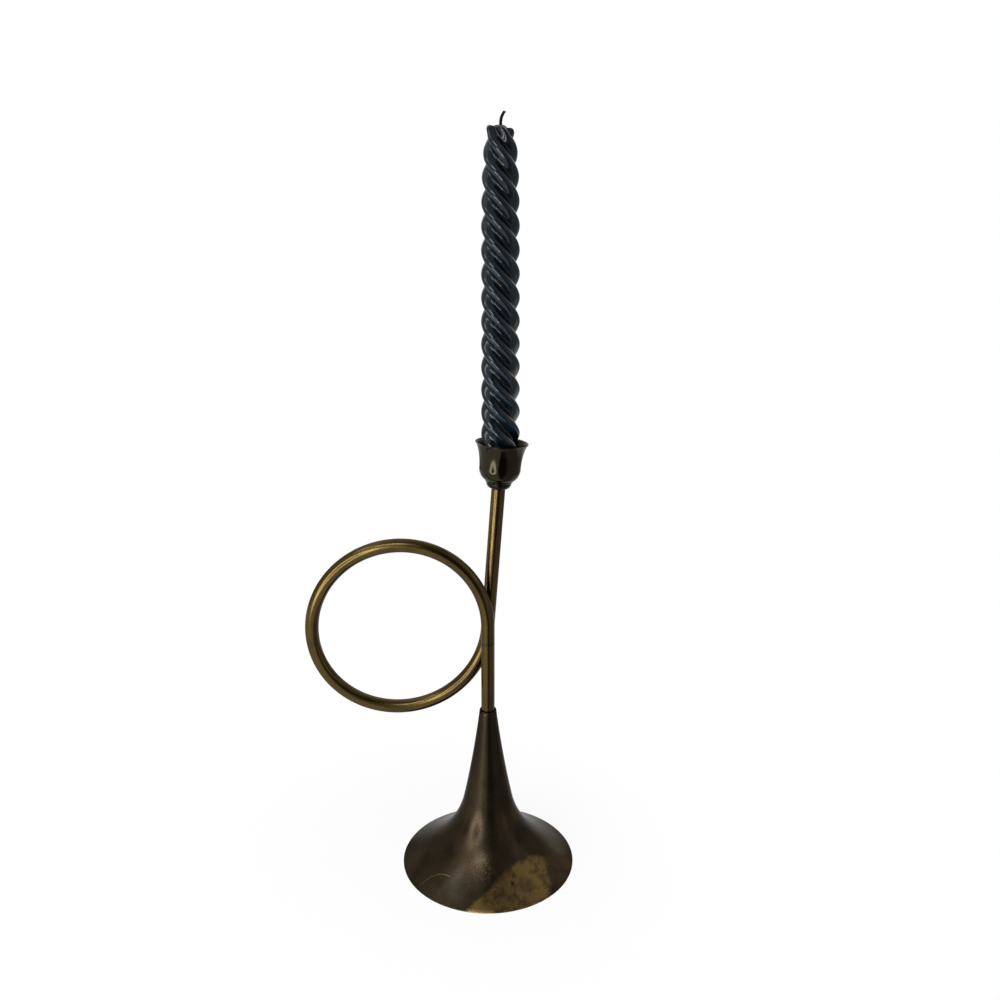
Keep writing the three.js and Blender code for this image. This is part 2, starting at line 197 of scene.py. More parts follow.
class CandleSettings(bpy.types.PropertyGroup):
    """Sizes and colours of the twisted candle and its wick"""

    strands: bpy.props.IntProperty(
        name="Strands", description="Strands of the twist", default=4, min=2, max=8
    )
    pitch: length("Strand Pitch", 12.8, "Height from one strand to the next")
    radius: length("Radius", 11.2, "Radius to the crest of a strand near the cup")
    taper: number("Taper", 0.0046, "Loss of radius with height")
    groove: length("Groove", 3.9, "Depth of the grooves between the strands")
    lean: length("Lean", 0.45, "How far the foot stands to the right of the tip")
    left_groove: length("Left Groove", 422.8, "Height above the floor where a groove passes the left side")
    top: length("Top", 442.0, "Height of the ends of the strands above the floor")
    shoulder: length("Shoulder", 64.0, "Length of the rounding towards the tip")
    foot_radius: length("Foot Radius", 9.5, "Radius at the foot")
    foot_taper: length("Foot Taper", 17.0, "Length of the tapered foot")
    wick_radius: length("Wick Radius", 0.88, "Radius of the wick")
    wick_rise: length("Wick Rise", 7.1, "Height of the wick above the candle")
    wick_bend: length("Wick Bend", 2.1, "How far the wick bends over")
    wax: colour("Wax", "#09161f", "Dyed wax")
    # Painted shade: the darker wax colour given to the grooves.
    shaded_groove_wax: colour("Deep Wax", "#040b10", "Wax in the grooves")
    bloom: colour("Bloom", "#26353e", "Pale dusty bloom on the wax")
    char: colour("Char", "#0b0a09", "Burnt cotton")
    fuzz: colour("Fuzz", "#1d1915", "Loose fibres")


class FixingsSettings(bpy.types.PropertyGroup):
    """Sizes and colours of the screw, the washers and the stud"""

    head_across: length("Head Across Flats", 7.0, "Width of the screw's hexagon head")
    head_height: length("Head Height", 2.8, "Height of the screw's head")
    shank_radius: length("Shank Radius", 2.0, "Radius of the M4 screw and stud to the crests of the thread")
    thread_pitch: length("Thread Pitch", 0.7, "Pitch of the M4 thread")
    thread_depth: length("Thread Depth", 0.38, "Depth of the thread")
    hole_radius: length("Hole Radius", 2.25, "Radius of the holes in the washers")
    split: angle("Split", 20.0535, "Angle of the gap in the spring washer")
    brass: colour("Brass", "#a98748", "Bare turned brass")
    film: colour("Film", "#7d6236", "Dull film on it")
    zinc: colour("Zinc", "#8f9294", "Zinc plating")
    spangle: colour("Spangle", "#6a6c6d", "Darker clouds in the plating")


class StageSettings(bpy.types.PropertyGroup):
    """Camera and light"""

    camera_place: bpy.props.FloatVectorProperty(
        name="Camera",
        description="Place of the camera",
        default=(0.03101, -0.54851, 0.3964),
        subtype="TRANSLATION",
    )
    camera_pitch: angle("Pitch", 15.726, "How far the camera looks down")
    lens: number("Lens", 35.63, "Focal length in millimetres")
    shift: bpy.props.FloatVectorProperty(
        name="Shift", description="Shift of the picture", default=(0.00736, -0.00615), size=2
    )
    key_light: number("Key Light", 7.5, "Brightness of the round lamp, where 1 is white paper")
    high_light: number("High Light", 10.0, "Brightness of the two high lamps, where 1 is white paper")
    ambient: number("Ambient", 0.45, "Level of the even light from all round")


SETTINGS = {
    "holder_bell": BellSettings,
    "holder_tube": TubeSettings,
    "holder_cup": CupSettings,
    "holder_candle": CandleSettings,
    "holder_fixings": FixingsSettings,
    "holder_stage": StageSettings,
}


def per(millimetres):
    """Texture scale that gives features of this size."""
    return 1 / (millimetres * MM)


def connect(tree, socket, value):
    """Gives an input its plain value, or the socket or node that feeds it."""
    if isinstance(value, bpy.types.Node):
        value = next(output for output in value.outputs if output.enabled)
    if isinstance(value, bpy.types.NodeSocket):
        tree.links.new(value, socket)
    else:
        socket.default_value = value


def add_node(tree, kind, inputs=(), **settings):
    """Adds a node with its settings. Its inputs come in their order, or by name."""
    node = tree.nodes.new("ShaderNode" + kind)
    for name, value in settings.items():
        setattr(node, name, value)
    named = inputs if isinstance(inputs, dict) else dict(enumerate(inputs))
    for name, value in named.items():
        connect(tree, node.inputs[name], value)
    return node


def start_finish(name):
    """A new material: the material, its node tree and the place on the piece in metres."""
    finish = bpy.data.materials.new(name)
    finish.use_nodes = True
    place = add_node(finish.node_tree, "TexCoord").outputs["Object"]
    return finish, finish.node_tree, place


def feed(tree, **inputs):
    """Sets inputs of the shader that every material starts with. Underscores stand for spaces."""
    for name, value in inputs.items():
        connect(tree, tree.nodes["Principled BSDF"].inputs[name.replace("_", " ")], value)


def set_shader(tree, shader):
    """Puts another shader in the place of the one that every material starts with."""
    tree.nodes.remove(tree.nodes["Principled BSDF"])
    connect(tree, tree.nodes["Material Output"].inputs["Surface"], shader)


def mottle(tree, place, millimetres, low, high, detail=3.0):
    """Soft patches of this size, from 0 where the noise is below low to 1 above high."""
    noise = add_node(tree, "TexNoise", {"Vector": place, "Scale": per(millimetres), "Detail": detail})
    return add_node(tree, "MapRange", (noise, low, high), **SMOOTH)


def layered(tree, base, *layers):
    """A colour with others laid over it: each layer is a mask, its strength and its colour."""
    for mask, strength, colour_over in layers:
        share = add_node(tree, "Math", (mask, strength), operation="MULTIPLY")
        base = add_node(tree, "Mix", {0: share, MIX_A: base, MIX_B: colour_over}, data_type="RGBA")
    return base


def spot(tree, plan, middle, inner, outer):
    """1 within the inner radius of a point of the plan, 0 beyond the outer radius."""
    far = add_node(tree, "VectorMath", (plan, (*(c * MM for c in middle), 0)), operation="DISTANCE")
    return add_node(tree, "MapRange", (far, inner * MM, outer * MM, 1.0, 0.0), **SMOOTH)


def upward_streaks(tree, plan, height):
    """Noise wound round the bell and drawn out upwards."""
    ring_radius = 16 * MM
    drawn_out = 0.35
    around = add_node(tree, "VectorMath", (plan,), operation="NORMALIZE")
    wound = add_node(tree, "VectorMath", (around, (ring_radius, ring_radius, 0)), operation="MULTIPLY")
    risen = add_node(tree, "CombineXYZ", (0, 0, height))
    drawn = add_node(tree, "VectorMath", (risen, (0, 0, drawn_out), wound), operation="MULTIPLY_ADD")
    return mottle(tree, drawn, 6.0, 0.48, 0.68)


def rubbed_patch(tree, place, plan, right):
    """Patch between a slanting line and an upright one at its right, with a ragged edge."""
    corner = (-9.6 * MM, -50.8 * MM, 0)
    across_slant = (0.634, -0.774, 0)
    right_edge = 36.6 * MM
    right_softness = 0.5
    raggedness = 6 * MM
    from_corner = add_node(tree, "VectorMath", (plan, corner), operation="SUBTRACT")
    inside = add_node(tree, "VectorMath", (from_corner, across_slant), operation="DOT_PRODUCT")
    softened = (right, -right_softness, right_edge * right_softness)
    short_of_right = add_node(tree, "Math", softened, operation="MULTIPLY_ADD")
    nearest = add_node(tree, "Math", (inside, short_of_right), operation="MINIMUM")
    grain = {"Scale": per(8.0), "Detail": 4.0, "Roughness": 0.6}
    ragged = add_node(tree, "TexNoise", {"Vector": place, **grain})
    edge = add_node(tree, "Math", (ragged, raggedness, nearest), operation="MULTIPLY_ADD")
    return add_node(tree, "MapRange", (edge, 1.6 * MM, 4.4 * MM), **SMOOTH)


def hair_scratch(tree, plan):
    """Hair-fine line along a short stretch of a circle."""
    middle = (-34 * MM, -44.3 * MM, 0)
    radius = 15.7 * MM
    half_width = 0.11 * MM
    towards_stretch = (0.086, 0.996, 0)
    from_middle = add_node(tree, "VectorMath", (plan, middle), operation="SUBTRACT")
    away = add_node(tree, "VectorMath", (from_middle,), operation="LENGTH")
    on_circle = add_node(tree, "Math", (away, radius, half_width), operation="COMPARE")
    along = add_node(tree, "VectorMath", (from_middle, towards_stretch), operation="DOT_PRODUCT")
    on_stretch = add_node(tree, "MapRange", (along, 12.2 * MM, 13.1 * MM), **SMOOTH)
    return add_node(tree, "Math", (on_circle, on_stretch), operation="MULTIPLY")


def patinated_spun_brass(bell):
    """Brass sheet spun over a former, patinated brown and waxed: dark satin with soft reddish streaks
    that run up the bell. At the front right the patina is rubbed through to olive brass with dark veins,
    and a hair-fine scratch shows at the front left. The inside has neither the patch nor the scratch."""
    finish, tree, place = start_finish("Patinated Spun Brass")
    centred = add_node(tree, "Mapping", {"Vector": place, "Location": -STEM})
    right, back, height = add_node(tree, "SeparateXYZ", (centred,)).outputs
    plan = add_node(tree, "CombineXYZ", (right, back))
    outside = add_node(tree, "Attribute", attribute_name="outside").outputs["Fac"]
    reach = add_node(tree, "VectorMath", (plan,), operation="LENGTH")
    clouds = mottle(tree, place, 14.0, 0.35, 0.7)
    specks = mottle(tree, place, 1.6, 0.45, 0.75)
    streaks = upward_streaks(tree, plan, height)
    outer_specks = add_node(tree, "Math", (specks, outside), operation="MULTIPLY")
    # Pale dust specks at the front, partly a painted highlight.
    sheen_and_dust_spot = spot(tree, plan, (-3, -33), 2, 9)
    sheen_and_dust_specks = add_node(tree, "Math", (sheen_and_dust_spot, outer_specks), operation="MULTIPLY")
    # Painted shade: darker up the neck, which dims the lamp's highlight there.
    painted_neck_shade = add_node(tree, "MapRange", (height, 20 * MM, 75 * MM), **SMOOTH)

    at_front = add_node(tree, "MapRange", (back, -2 * MM, -30 * MM), **SMOOTH)
    outer_front = add_node(tree, "Math", (outside, at_front), operation="MULTIPLY")
    rubbed = rubbed_patch(tree, place, plan, right)
    patch = add_node(tree, "Math", (rubbed, outer_front), operation="MULTIPLY")
    vein_noise = add_node(tree, "TexNoise", {"Vector": place, "Scale": per(17.0), "Detail": 3.0})
    veins = add_node(tree, "Math", (vein_noise, 0.5, 0.012), operation="COMPARE")
    smudge = mottle(tree, place, 7.0, 0.45, 0.62, detail=5.0)
    worn = layered(tree, bell.worn, (smudge, 0.6, bell.russet), (veins, 0.35, bell.umber_and_shade))
    scratch = add_node(tree, "Math", (hair_scratch(tree, plan), outside), operation="MULTIPLY")
    # Painted glint: on a short stretch of the front rim, the scratch's bright metal colour stands in for the
    # lamp's reflection on the rim's edge.
    at_rim = add_node(tree, "MapRange", (reach, 52.3 * MM, 53.3 * MM), **SMOOTH)
    glint_spot = spot(tree, plan, (-4, -53), 5, 10)
    painted_rim_glint = add_node(tree, "Math", (at_rim, glint_spot), operation="MULTIPLY")
    browned = layered(
        tree,
        bell.patina,
        (clouds, 1.0, bell.umber_and_shade),
        (streaks, 0.5, bell.russet),
        (spot(tree, plan, (44, 2), 3, 15), 0.9, bell.russet),
        (specks, 0.25, bell.umber_and_shade),
        # Painted shade: darker up the neck and in a spot on the waist where the lamp's highlight falls.
        (painted_neck_shade, 0.7, bell.umber_and_shade),
        (spot(tree, plan, (-6.5, -22), 3, 12), 0.55, bell.umber_and_shade),
        # Pale dust on the flare, partly painted sheen that lightens the front and the right wing.
        (spot(tree, plan, (-17, -38), 3, 12), 0.14, bell.dust_and_sheen),
        (spot(tree, plan, (43, 1), 2, 9), 0.6, bell.dust_and_sheen),
        (sheen_and_dust_specks, 0.5, bell.dust_and_sheen),
        (spot(tree, plan, (37, 12), 5, 21), 0.8, bell.dust_and_sheen),
        (patch, 1.0, worn),
        (spot(tree, plan, (14.8, -38.3), 0.5, 1.6), 0.8, bell.umber_and_shade),
        (scratch, 0.5, bell.scratch),
        (painted_rim_glint, 0.9, bell.scratch),
    )
    rough = add_node(tree, "MapRange", (specks, 0, 1, 0.27, 0.34))
    bump = add_node(tree, "Bump", {"Height": specks, "Distance": 0.004 * MM})
    feed(tree, Base_Color=browned, Roughness=rough, Normal=bump, Metallic=1.0, Specular_Tint=bell.edge)
    return finish


def aged_drawn_brass(tube):
    """Brass tube, drawn and left to tarnish: satin olive gold, with fine lines along the tube,
    darker tarnish in patches and dark stains from the heat at the butt joint."""
    finish, tree, place = start_finish("Aged Drawn Brass")
    on_tube = add_node(tree, "Attribute", attribute_name="tube_place").outputs["Vector"]
    drawn = add_node(tree, "Mapping", {"Vector": on_tube, "Scale": (1.0, 1.0, 0.02)})
    lines = mottle(tree, drawn, 0.9, 0.3, 0.7, detail=2.0)
    tarnish = mottle(tree, place, 11.0, 0.4, 0.72)
    specks = mottle(tree, place, 1.4, 0.55, 0.8)
    run = add_node(tree, "SeparateXYZ", (on_tube,)).outputs[2]
    from_seam = add_node(tree, "Math", (run,), operation="ABSOLUTE")
    ragged = add_node(tree, "TexNoise", {"Vector": place, "Scale": per(1.5), "Detail": 3.0})
    raggedness = 5 * MM
    blurred = add_node(tree, "Math", (ragged, raggedness, from_seam), operation="MULTIPLY_ADD")
    stained = add_node(tree, "MapRange", (blurred, 4.2 * MM, 2.2 * MM), **SMOOTH)
    aged = layered(
        tree,
        tube.brass,
        (tarnish, 0.8, tube.shade),
        (lines, 0.1, tube.shade),
        (specks, 0.08, tube.stain),
        (stained, 0.7, tube.stain),
    )
    rough = add_node(tree, "MapRange", (tarnish, 0, 1, 0.22, 0.28))
    feed(tree, Base_Color=aged, Roughness=rough, Metallic=1.0, Specular_Tint=tube.edge)
    feed(tree, Coat_Weight=0.4, Coat_Roughness=0.15)
    return finish


def blackened_turned_brass(cup):
    """Brass turned on a lathe, blackened and polished smooth: almost black olive with redder patches,
    paler specks and a thin clear skin, in which the lamp shows as a small ring. Painted shade darkens the
    collar."""
    finish, tree, place = start_finish("Blackened Turned Brass")
    clouds = mottle(tree, place, 7.0, 0.48, 0.72)
    specks = mottle(tree, place, 0.8, 0.52, 0.74)
    height = add_node(tree, "SeparateXYZ", (place,)).outputs[2]
    # Painted shade: the collar under the cup is darkened, fading out between 4 and 6 mm above its foot.
    unshaded_height = COLLAR_FOOT.z + 6 * MM
    fully_shaded_height = COLLAR_FOOT.z + 4 * MM
    shade_below_cup = add_node(tree, "MapRange", (height, unshaded_height, fully_shaded_height), **SMOOTH)
    blackened = layered(
        tree, cup.brass, (clouds, 0.5, cup.warm), (specks, 0.35, cup.speck), (shade_below_cup, 0.6, cup.painted_collar_shade)
    )
    rough = add_node(tree, "MapRange", (specks, 0, 1, 0.14, 0.22))
    bump = add_node(tree, "Bump", {"Height": specks, "Distance": 0.004 * MM})
    feed(tree, Base_Color=blackened, Roughness=rough, Normal=bump, Metallic=1.0, Specular_Tint=cup.edge)
    feed(tree, Coat_Weight=0.25, Coat_Roughness=0.12)
    return finish


def dyed_candle_wax(candle):
    """Paraffin wax, dyed navy and cast in one: glossy, a little clear at the skin,
    with painted shade darker in the grooves and a faint pale bloom in patches on the crests."""
    finish, tree, place = start_finish("Dyed Candle Wax")
    crest = add_node(tree, "Attribute", attribute_name="crest").outputs["Fac"]
    clouds = mottle(tree, place, 4.0, 0.45, 0.75)
    grain = mottle(tree, place, 1.3, 0.4, 0.75, detail=2.0)
    on_crest = add_node(tree, "Math", (clouds, crest), operation="MULTIPLY")
    # Painted shade: away from the crests the wax turns to the darker groove colour.
    wax = layered(tree, candle.shaded_groove_wax, (crest, 1.0, candle.wax), (on_crest, 0.25, candle.bloom))
    rough = add_node(tree, "MapRange", (grain, 0, 1, 0.09, 0.15))
    bump = add_node(tree, "Bump", {"Height": grain, "Distance": 0.003 * MM})
    feed(tree, Base_Color=wax, Roughness=rough, Normal=bump, IOR=1.44, Specular_IOR_Level=0.43)
    feed(tree, Subsurface_Weight=0.1, Subsurface_Scale=1.0 * MM)
    return finish


def charred_cotton(candle):
    """Plied cotton wick, waxed and burnt: matt black with a brownish fuzz."""
    finish, tree, place = start_finish("Charred Cotton")
    fuzz = mottle(tree, place, 0.4, 0.4, 0.7)
    charred = layered(tree, candle.char, (fuzz, 1.0, candle.fuzz))
    bump = add_node(tree, "Bump", {"Height": fuzz, "Distance": 0.05 * MM})
    feed(tree, Base_Color=charred, Normal=bump, Roughness=0.9, Specular_IOR_Level=0.2)
    return finish


def wiped_solder(tube):
    """Tin solder, wiped while soft and dulled since: grey with darker pits."""
    finish, tree, place = start_finish("Wiped Tin Solder")
    pits = mottle(tree, place, 0.9, 0.5, 0.7)
    dulled = layered(tree, tube.solder, (pits, 1.0, tube.stain))
    bump = add_node(tree, "Bump", {"Height": pits, "Distance": 0.05 * MM})
    feed(tree, Base_Color=dulled, Normal=bump, Metallic=1.0, Roughness=0.5)
    return finish


def bare_turned_brass(fixings):
    """Brass turned and left bare inside the holder: yellow with fine tool rings and a dull film."""
    finish, tree, place = start_finish("Bare Turned Brass")
    film = mottle(tree, place, 5.0, 0.4, 0.7)
    tool_rings = {"Vector": place, "Scale": per(6.0), "Distortion": 0.4}
    rings = add_node(tree, "TexWave", tool_rings, bands_direction="Z")
    dull = layered(tree, fixings.brass, (film, 1.0, fixings.film))
    rough = add_node(tree, "MapRange", (film, 0, 1, 0.3, 0.42))
    bump = add_node(tree, "Bump", {"Height": rings, "Distance": 0.01 * MM})
    feed(tree, Base_Color=dull, Roughness=rough, Normal=bump, Metallic=1.0)
    return finish


def zinc_plated_steel(fixings):
    """Cold-headed steel with a zinc skin: cool grey with a faint cloudy spangle and dull spots."""
    finish, tree, place = start_finish("Zinc Plated Steel")
    spangle = mottle(tree, place, 1.5, 0.35, 0.7)
    clouded = layered(tree, fixings.zinc, (spangle, 1.0, fixings.spangle))
    rough = add_node(tree, "MapRange", (spangle, 0, 1, 0.3, 0.45))
    bump = add_node(tree, "Bump", {"Height": spangle, "Distance": 0.01 * MM})
    feed(tree, Base_Color=clouded, Roughness=rough, Normal=bump, Metallic=1.0)
    return finish


def add_piece(name, shape, finish):
    """Makes an object from a bmesh, smooth shaded, with its material."""
    mesh = bpy.data.meshes.new(name)
    shape.to_mesh(mesh)
    shape.free()
    mesh.shade_smooth()
    mesh.materials.append(finish)
    piece = bpy.data.objects.new(name, mesh)
    bpy.context.scene.collection.objects.link(piece)
    return piece


def dress(piece, slot, body, *nodes):
    """The piece stands for these nodes of the frame and rides on their body. Its slot is not used."""
    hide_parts(*nodes)
    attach(piece, body)


def at(radius, height):
    """A point of an outline or a step from one: outwards, and up from the floor or the collar's foot."""
    return Vector((radius, 0, height))


def on_stem(height):
    """A point on the axis of the bell and the stem."""
    return STEM + at(0, height)


def curve(start, start_handle, end_handle, end, steps):
    """Points on a Bezier curve, without its last one."""
    return interpolate_bezier(start, start_handle, end_handle, end, steps + 1)[:-1]


def round_corner(start, corner, end, steps):
    """Points of the curve that rounds off a corner, with its last one."""
    pull = 0.55
    return interpolate_bezier(start, start.lerp(corner, pull), end.lerp(corner, pull), end, steps)


def rounded(corners, steps=5):
    """Points of a closed outline from corners of radius, height and rounding."""
    outline = []
    for i, (radius, height, rounding) in enumerate(corners):
        corner = at(radius, height)
        if not rounding:
            outline.append(corner)
            continue
        before = at(*corners[i - 1][:2])
        after = at(*corners[(i + 1) % len(corners)][:2])
        start = corner + (before - corner).normalized() * rounding
        end = corner + (after - corner).normalized() * rounding
        outline += round_corner(start, corner, end, steps)
    return outline


def directions(points):
    """The direction of a line of points at each of them."""
    last = len(points) - 1
    return [(points[min(i + 1, last)] - points[max(i - 1, 0)]).normalized() for i in range(last + 1)]


def moved_in(outline, depth):
    """The points of an outline that runs downwards, moved inwards by a depth."""
    steps = [at(along.z, -along.x) * depth for along in directions(outline)]
    return [point + step for point, step in zip(outline, steps)]


def spun(outline, steps, place):
    """A closed outline turned once about its axis and put in its place."""
    shape = bmesh.new()
    corners = [shape.verts.new(point) for point in outline]
    for i, corner in enumerate(corners):
        shape.edges.new((corners[i - 1], corner))
    profile = shape.verts[:] + shape.edges[:]
    bmesh.ops.spin(shape, geom=profile, axis=(0, 0, 1), angle=2 * math.pi, steps=steps, use_merge=True)
    bmesh.ops.remove_doubles(shape, verts=shape.verts, dist=0.001 * MM)
    bmesh.ops.recalc_face_normals(shape, faces=shape.faces)
    bmesh.ops.transform(shape, matrix=place, verts=shape.verts)
    return shape


def path_frames(points):
    """A place at each point of a path: X to the side, Y to the back, Z along the path."""
    places = []
    for point, along in zip(points, directions(points)):
        side = Vector((0, 1, 0)).cross(along).normalized()
        turn = Matrix((side, along.cross(side), along)).transposed()
        places.append(Matrix.Translation(point) @ turn.to_4x4())
    return places


def extruded(shape, ring, places, ends):
    """Puts a ring at the first place, extrudes it through the others and may close its ends. Gives the
    rings in their order."""
    bmesh.ops.transform(shape, matrix=places[0], verts=ring)
    edges = shape.edges[:]
    if ends:
        bmesh.ops.contextual_create(shape, geom=edges)
    rings = [ring]
    for i in range(1, len(places)):
        drawn = bmesh.ops.extrude_edge_only(shape, edges=edges)["geom"]
        rings.append([item for item in drawn if isinstance(item, bmesh.types.BMVert)])
        edges = [item for item in drawn if isinstance(item, bmesh.types.BMEdge)]
        bmesh.ops.transform(shape, matrix=places[i] @ places[i - 1].inverted(), verts=rings[-1])
    if ends:
        bmesh.ops.contextual_create(shape, geom=edges)
    return rings


def swept(points, radius, sides, start=0.0, ends=False):
    """A ring drawn along a path. Its tube_place attribute gives the place across and along the tube."""
    shape = bmesh.new()
    tube_place = shape.verts.layers.float_vector.new("tube_place")
    ring = bmesh.ops.create_circle(shape, segments=sides, radius=radius)["verts"]
    for corner in ring:
        corner[tube_place] = (corner.co.x, corner.co.y, start)
    run = start
    for i, ring in enumerate(extruded(shape, ring, path_frames(points), ends)):
        run += (points[i] - points[max(i - 1, 0)]).length
        for corner in ring:
            corner[tube_place] = (*corner[tube_place].xy, run)
    bmesh.ops.recalc_face_normals(shape, faces=shape.faces)
    return shape


def thicken(piece, wall):
    """Gives a thin shell its wall, inwards."""
    solid = piece.modifiers.new("Wall", "SOLIDIFY")
    solid.thickness = wall
    solid.offset = -1


def leaning(lean):
    """The direction of an outline that goes down and leans out."""
    return Vector((math.sin(lean), 0, -math.cos(lean)))


class CANDLEHOLDER_OT_bell(bpy.types.Operator):
    """Spins the bell from its outline"""

    bl_idname = "candle_holder.bell"
    bl_label = "Bell"

    def execute(self, context):
        bell = context.scene.holder_bell
        rim_radius = (BELL_HIGH.x - BELL_LOW.x) / 2
        neck_pull = 18.5 * MM
        waist_pull_up = 20.2 * MM
        waist_pull_down = 18.8 * MM
        rim_pull = 28.9 * MM
        neck = at(bell.neck_radius, BELL_HIGH.z)
        waist = at(bell.waist_radius, bell.waist_height)
        rim = at(rim_radius, bell.rim_edge)
        below_neck = neck + leaning(bell.neck_lean) * neck_pull
        above_waist = waist - leaning(bell.waist_lean) * waist_pull_up
        below_waist = waist + leaning(bell.waist_lean) * waist_pull_down
        above_rim = rim - leaning(bell.rim_lean) * rim_pull
        outside = curve(neck, below_neck, above_waist, waist, 24)
        outside += curve(waist, below_waist, above_rim, rim, 44)
        inside = moved_in(outside, bell.wall)
        upper_round = 0.25 * MM
        lower_round = 0.15 * MM
        ring_width = 0.6 * MM
        foot = at(rim_radius, 0)
        turn = rim - leaning(bell.rim_lean) * upper_round
        rim_round = curve(turn, rim, rim, rim - at(0, upper_round), 5)
        rim_round += curve(foot + at(0, lower_round), foot, foot, foot - at(lower_round, 0), 4)
        outline = outside[:-1] + rim_round + [foot - at(ring_width, 0)] + inside[:-1][::-1]
        shape = spun(outline, 160, STEM_PLACE)
        shape.normal_update()
        on_outside = shape.verts.layers.float.new("outside")
        for corner in shape.verts:
            corner[on_outside] = 1 if corner.normal.z > 0 else 0
        piece = add_piece("bell_shell", shape, patinated_spun_brass(bell))
        dress(piece, "patinated_brass", "stand", "bell")
        return {"FINISHED"}


def horn_points(tube):
    """Middle line of the horn tube from the butt joint: up, once round to the left, up the leaning leg."""
    def upright(lean):
        return -math.atan(tube.loop_short / tube.loop_long * math.tan(tube.loop_diagonal + lean))

    start = upright(0)
    turn = 2 * math.pi + upright(LEG_LEAN) - start
    half_width = math.hypot(
        tube.loop_long * math.cos(tube.loop_diagonal), tube.loop_short * math.sin(tube.loop_diagonal)
    )

    def on_loop(share):
        turned = start + turn * share
        back = COLLAR_FOOT.y * (share - math.sin(2 * math.pi * share) / (2 * math.pi))
        oval = Vector((tube.loop_long * math.cos(turned), tube.loop_short * math.sin(turned)))
        oval.rotate(Matrix.Rotation(tube.loop_diagonal, 2))
        return Vector((STEM.x - half_width + oval.x, back, tube.loop_height + oval.y))

    foot = on_stem(STEM_HIGH.z + tube.seam)
    top = COLLAR_FOOT + LEG_AXIS * tube.collar_depth
    rise_steps = 8
    loop_steps = 220
    leg_steps = 24
    rise_shares = (0, END_STEP, *(i / rise_steps for i in range(1, rise_steps)))
    rise = [foot.lerp(on_loop(0), share) for share in rise_shares]
    loop = [on_loop(i / loop_steps) for i in range(loop_steps)]
    leg = [on_loop(1).lerp(top, i / leg_steps) for i in range(leg_steps + 1)]
    return rise + loop + leg


class CANDLEHOLDER_OT_tube(bpy.types.Operator):
    """Draws the stem and the looped horn tube"""

    bl_idname = "candle_holder.tube"
    bl_label = "Tube"

    def execute(self, context):
        tube = context.scene.holder_tube
        finish = aged_drawn_brass(tube)
        radius = (STEM_HIGH.x - STEM_LOW.x) / 2 + tube.swell
        sides = 40
        steps = 12
        bottom = on_stem(STEM_LOW.z)
        top = on_stem(STEM_HIGH.z)
        shares = [0, END_STEP, *(i / steps for i in range(1, steps)), 1 - END_STEP, 1]
        stem_points = [bottom.lerp(top, share) for share in shares]
        stem = add_piece("stem", swept(stem_points, radius, sides, start=-(top - bottom).length), finish)
        horn = add_piece("horn", swept(horn_points(tube), radius, sides), finish)
        for piece, node in ((stem, "stem_tube"), (horn, "horn_tube")):
            thicken(piece, tube.wall)
            dress(piece, "tube_brass", "stand", node)
        self.solder(tube)
        return {"FINISHED"}

    def solder(self, tube):
        """Bead of solder between the stem and the leg, sunk a little into both."""
        middle = (SOLDER_LOW + SOLDER_HIGH) / 2
        size = SOLDER_HIGH - SOLDER_LOW
        sunk = 1.6 * MM
        scale = Vector((size.x / 2, size.y / 2 + sunk, size.z / 2))
        shape = bmesh.new()
        bmesh.ops.create_uvsphere(shape, u_segments=40, v_segments=24, radius=1)
        bmesh.ops.scale(shape, vec=scale, verts=shape.verts)
        bmesh.ops.translate(shape, vec=middle, verts=shape.verts)
        piece = add_piece("solder_bead", shape, wiped_solder(tube))
        dress(piece, "soft_solder", "stand", "crossing_solder")


